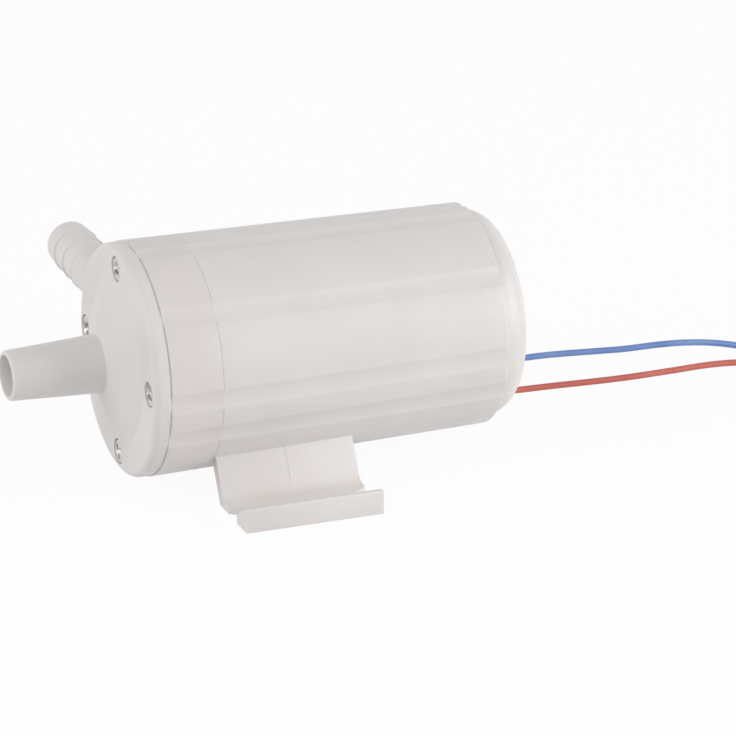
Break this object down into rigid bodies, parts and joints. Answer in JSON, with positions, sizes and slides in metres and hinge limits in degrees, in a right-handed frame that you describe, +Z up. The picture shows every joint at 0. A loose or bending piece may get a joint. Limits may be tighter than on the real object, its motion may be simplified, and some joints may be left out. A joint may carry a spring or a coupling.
{
  "type": "inline water pump",
  "caption": "Sealed inline water pump: drafted cylindrical body with shallow flutes, axial inlet spigot, barbed side outlet, screwed front cover, lipped feet and free power leads.",
  "frame": {"origin": "on the surface that the feet stand on, on the body's middle plane, under the middle of the feet's length", "axes": "+Z up, +X along the pump axis from the inlet spigot towards the leads, +Y towards the side that the outlet leaves"},
  "size_m": [0.2093, 0.0811, 0.0521],
  "materials": {
    "pale_plastic": "satin moulded plastic, pale warm grey-white",
    "cream_plastic": "natural moulded plastic",
    "black_plastic": "matt moulded plastic",
    "screw_steel": "bright plated steel",
    "can_steel": "plated steel",
    "core_iron": "stacked sheet iron",
    "ferrite": "dark sintered ferrite",
    "enamelled_copper": "copper",
    "bearing_bronze": "bronze",
    "terminal_brass": "bright brass",
    "carbon": "pressed carbon",
    "black_rubber": "soft rubber",
    "pale_rubber": "soft pale rubber",
    "red_insulation": "satin flexible insulation",
    "blue_insulation": "satin flexible insulation",
    "tinned_wire": "tinned copper strands"
  },
  "bodies": {
    "pump_body": {"front_cover": "pale_plastic", "cover_screws": "screw_steel", "cover_seal": "black_rubber", "pump_housing": "pale_plastic", "housing_gasket": "black_rubber", "shaft_seal": "black_rubber", "motor_housing": "pale_plastic", "right_foot": "pale_plastic", "left_foot": "pale_plastic", "motor_can": "can_steel", "motor_magnets": "ferrite", "front_bearing": "bearing_bronze", "rear_bearing": "bearing_bronze", "brush_plate": "black_plastic", "brushes": "carbon", "brush_springs": "bearing_bronze", "terminals": "terminal_brass", "red_inner_lead": "red_insulation", "blue_inner_lead": "blue_insulation", "lead_grommets": "pale_rubber", "lead_red": "red_insulation", "lead_red_coil": "red_insulation", "lead_red_end": "tinned_wire", "lead_blue": "blue_insulation", "lead_blue_coil": "blue_insulation", "lead_blue_end": "tinned_wire"},
    "rotor": {"impeller": "cream_plastic", "motor_shaft": "can_steel", "rotor_core": "core_iron", "rotor_windings": "enamelled_copper", "commutator": "enamelled_copper"}
  },
  "joints": [
    {"name": "rotor_spin", "type": "hinge", "parent": "pump_body", "child": "rotor", "pos_m": [0, 0, 0.0271], "axis": [1, 0, 0], "continuous": true}
  ]
}
